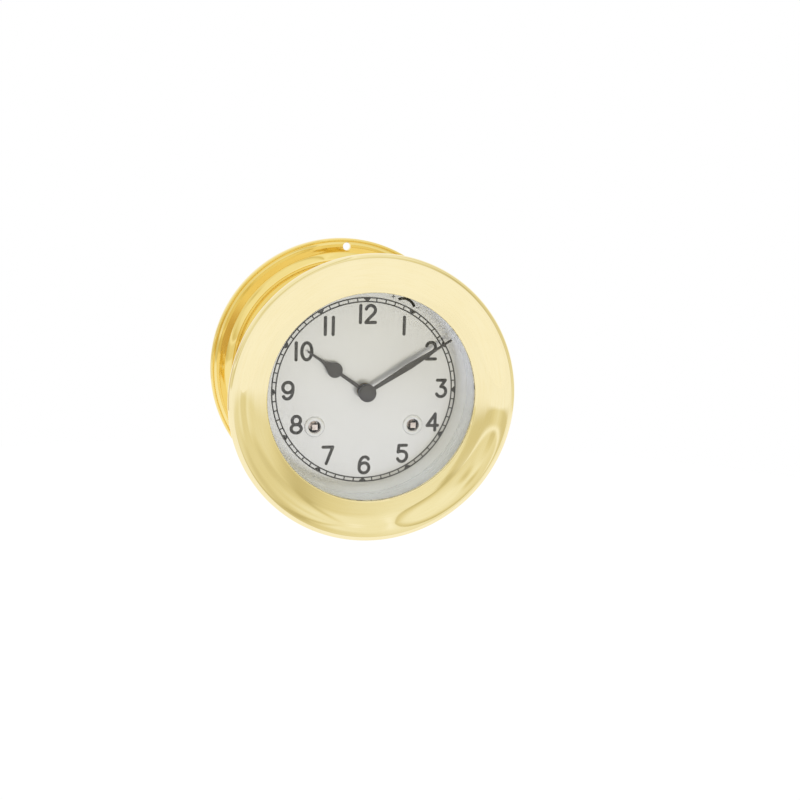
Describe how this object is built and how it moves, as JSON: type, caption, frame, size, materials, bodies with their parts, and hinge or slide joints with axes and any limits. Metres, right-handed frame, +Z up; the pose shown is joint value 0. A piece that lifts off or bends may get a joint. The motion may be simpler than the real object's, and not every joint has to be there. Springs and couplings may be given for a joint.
{
  "type": "wall clock",
  "caption": "Round brass wall clock with a screw flange, hinged glazed bezel, silvered dial, spade hands, spring-driven striking movement and a bell inside the case.",
  "frame": {"origin": "centre of the case's flat back, on the wall", "axes": "+Y into the wall along the clock axis, so the dial faces -Y; +Z up through twelve o'clock; +X to the right"},
  "size_m": [0.14, 0.093, 0.14],
  "materials": {
    "polished_brass": "polished and lacquered",
    "movement_brass": "satin",
    "steel": "ground",
    "silvered_dial": "silvered, fine grain",
    "black_hands": "matt black",
    "bell_metal": "turned",
    "clear_glass": "clear"
  },
  "bodies": {
    "case": {"case_body": "polished_brass", "movement_screw_1": "steel", "movement_screw_2": "steel", "movement_screw_3": "steel", "hinge_case_leaf": "polished_brass", "hinge_pin": "steel", "hinge_screw_1": "steel", "hinge_screw_2": "steel", "bezel_catch": "steel", "dial": "silvered_dial", "reflector_ring": "silvered_dial", "time_winding_grommet": "silvered_dial", "strike_winding_grommet": "silvered_dial", "dial_foot_1": "movement_brass", "dial_foot_2": "movement_brass", "dial_foot_3": "movement_brass", "front_plate": "movement_brass", "back_plate": "movement_brass", "pillar_1": "movement_brass", "pillar_2": "movement_brass", "pillar_3": "movement_brass", "balance_cock": "movement_brass", "hairspring": "steel", "bell": "bell_metal", "bell_post": "movement_brass", "bell_nut": "steel"},
    "door": {"bezel": "polished_brass", "glass": "clear_glass", "glass_ring": "polished_brass", "hinge_bezel_leaf": "polished_brass"},
    "time_barrel_body": {"time_barrel": "movement_brass", "time_barrel_cover": "movement_brass", "time_mainspring": "steel"},
    "time_winder": {"time_winding_arbor": "steel", "time_ratchet": "steel"},
    "time_pawl": {"time_click": "steel"},
    "second": {"second_wheel": "movement_brass"},
    "centre": {"centre_wheel": "movement_brass"},
    "third": {"third_wheel": "movement_brass"},
    "fourth": {"fourth_wheel": "movement_brass"},
    "escape": {"escape_wheel": "movement_brass"},
    "pallets": {"pallet_lever": "steel"},
    "balance": {"balance_wheel": "movement_brass"},
    "regulator": {"regulator_lever": "steel"},
    "minute": {"cannon_pinion": "steel", "minute_hand": "black_hands", "hand_nut": "black_hands"},
    "minute_gear": {"minute_wheel": "movement_brass"},
    "hour": {"hour_wheel": "movement_brass", "hour_hand": "black_hands"},
    "strike_barrel_body": {"strike_barrel": "movement_brass", "strike_barrel_cover": "movement_brass", "strike_mainspring": "steel"},
    "strike_winder": {"strike_winding_arbor": "steel", "strike_ratchet": "steel"},
    "strike_pawl": {"strike_click": "steel"},
    "pin_wheel": {"strike_pin_wheel": "movement_brass"},
    "strike_third": {"strike_third_wheel": "movement_brass"},
    "fly": {"strike_fly": "steel"},
    "hammer_body": {"hammer": "steel"}
  },
  "joints": [
    {"name": "bezel_hinge", "type": "hinge", "parent": "case", "child": "door", "pos_m": [0.066, -0.0827, 0], "axis": [0, 0, 1], "range_deg": [0, 110]},
    {"name": "minute_hand_turn", "type": "hinge", "parent": "case", "child": "minute", "pos_m": [0, 0, 0], "axis": [0, 1, 0], "continuous": true},
    {"name": "minute_wheel_turn", "type": "hinge", "parent": "case", "child": "minute_gear", "pos_m": [0, 0, 0.012], "axis": [0, 1, 0], "continuous": true},
    {"name": "hour_hand_turn", "type": "hinge", "parent": "case", "child": "hour", "pos_m": [0, 0, 0], "axis": [0, 1, 0], "continuous": true},
    {"name": "third_wheel_turn", "type": "hinge", "parent": "case", "child": "third", "pos_m": [-0.00468, 0, 0.01286], "axis": [0, 1, 0], "continuous": true},
    {"name": "time_barrel_turn", "type": "hinge", "parent": "case", "child": "time_barrel_body", "pos_m": [0.02495, 0, -0.01775], "axis": [0, 1, 0], "continuous": true},
    {"name": "second_wheel_turn", "type": "hinge", "parent": "case", "child": "second", "pos_m": [0.01389, 0, 0.00173], "axis": [0, 1, 0], "continuous": true},
    {"name": "centre_wheel_turn", "type": "hinge", "parent": "case", "child": "centre", "pos_m": [0, 0, 0], "axis": [0, 1, 0], "continuous": true},
    {"name": "fourth_wheel_turn", "type": "hinge", "parent": "case", "child": "fourth", "pos_m": [-0.00133, 0, 0.02533], "axis": [0, 1, 0], "continuous": true},
    {"name": "escape_wheel_turn", "type": "hinge", "parent": "case", "child": "escape", "pos_m": [0.00895, 0, 0.03127], "axis": [0, 1, 0], "continuous": true},
    {"name": "pallet_rock", "type": "hinge", "parent": "case", "child": "pallets", "pos_m": [0.00585, 0, 0.03664], "axis": [0, 1, 0], "range_deg": [-5, 5]},
    {"name": "balance_swing", "type": "hinge", "parent": "case", "child": "balance", "pos_m": [-0.0035, 0, 0.03829], "axis": [0, 1, 0], "range_deg": [-200, 200], "stiffness_Nm_per_rad": 0.00003},
    {"name": "regulator_turn", "type": "hinge", "parent": "case", "child": "regulator", "pos_m": [0.018, 0, 0.0399], "axis": [0, 1, 0], "range_deg": [-12, 72]},
    {"name": "time_winding", "type": "hinge", "parent": "case", "child": "time_winder", "pos_m": [0.02495, 0, -0.01775], "axis": [0, 1, 0], "continuous": true},
    {"name": "time_click_lift", "type": "hinge", "parent": "case", "child": "time_pawl", "pos_m": [0.0307, 0, -0.00779], "axis": [0, 1, 0], "range_deg": [-12, 0], "stiffness_Nm_per_rad": 0.001},
    {"name": "strike_third_turn", "type": "hinge", "parent": "case", "child": "strike_third", "pos_m": [-0.02204, 0, 0.01609], "axis": [0, 1, 0], "continuous": true},
    {"name": "strike_barrel_turn", "type": "hinge", "parent": "case", "child": "strike_barrel_body", "pos_m": [-0.02495, 0, -0.01775], "axis": [0, 1, 0], "continuous": true},
    {"name": "pin_wheel_turn", "type": "hinge", "parent": "case", "child": "pin_wheel", "pos_m": [-0.02884, 0, 0.00431], "axis": [0, 1, 0], "continuous": true},
    {"name": "fly_turn", "type": "hinge", "parent": "case", "child": "fly", "pos_m": [-0.01896, 0, 0.02758], "axis": [0, 1, 0], "continuous": true},
    {"name": "strike_winding", "type": "hinge", "parent": "case", "child": "strike_winder", "pos_m": [-0.02495, 0, -0.01775], "axis": [0, 1, 0], "continuous": true},
    {"name": "strike_click_lift", "type": "hinge", "parent": "case", "child": "strike_pawl", "pos_m": [-0.0307, 0, -0.00779], "axis": [0, 1, 0], "range_deg": [0, 12], "stiffness_Nm_per_rad": 0.001},
    {"name": "hammer_swing", "type": "hinge", "parent": "case", "child": "hammer_body", "pos_m": [-0.03585, 0, 0.02357], "axis": [0, 1, 0], "range_deg": [0, 10]}
  ],
  "couplings": [
    {"joint": "minute_wheel_turn", "follows": "minute_hand_turn", "ratio": -0.33333},
    {"joint": "hour_hand_turn", "follows": "minute_hand_turn", "ratio": 0.083333},
    {"joint": "centre_wheel_turn", "follows": "third_wheel_turn", "ratio": -0.125},
    {"joint": "second_wheel_turn", "follows": "third_wheel_turn", "ratio": 0.020833},
    {"joint": "time_barrel_turn", "follows": "third_wheel_turn", "ratio": -0.0029762},
    {"joint": "fourth_wheel_turn", "follows": "third_wheel_turn", "ratio": -7.5},
    {"joint": "escape_wheel_turn", "follows": "third_wheel_turn", "ratio": 75},
    {"joint": "pin_wheel_turn", "follows": "strike_third_turn", "ratio": -0.13333},
    {"joint": "strike_barrel_turn", "follows": "strike_third_turn", "ratio": 0.019048},
    {"joint": "fly_turn", "follows": "strike_third_turn", "ratio": -7.5}
  ]
}
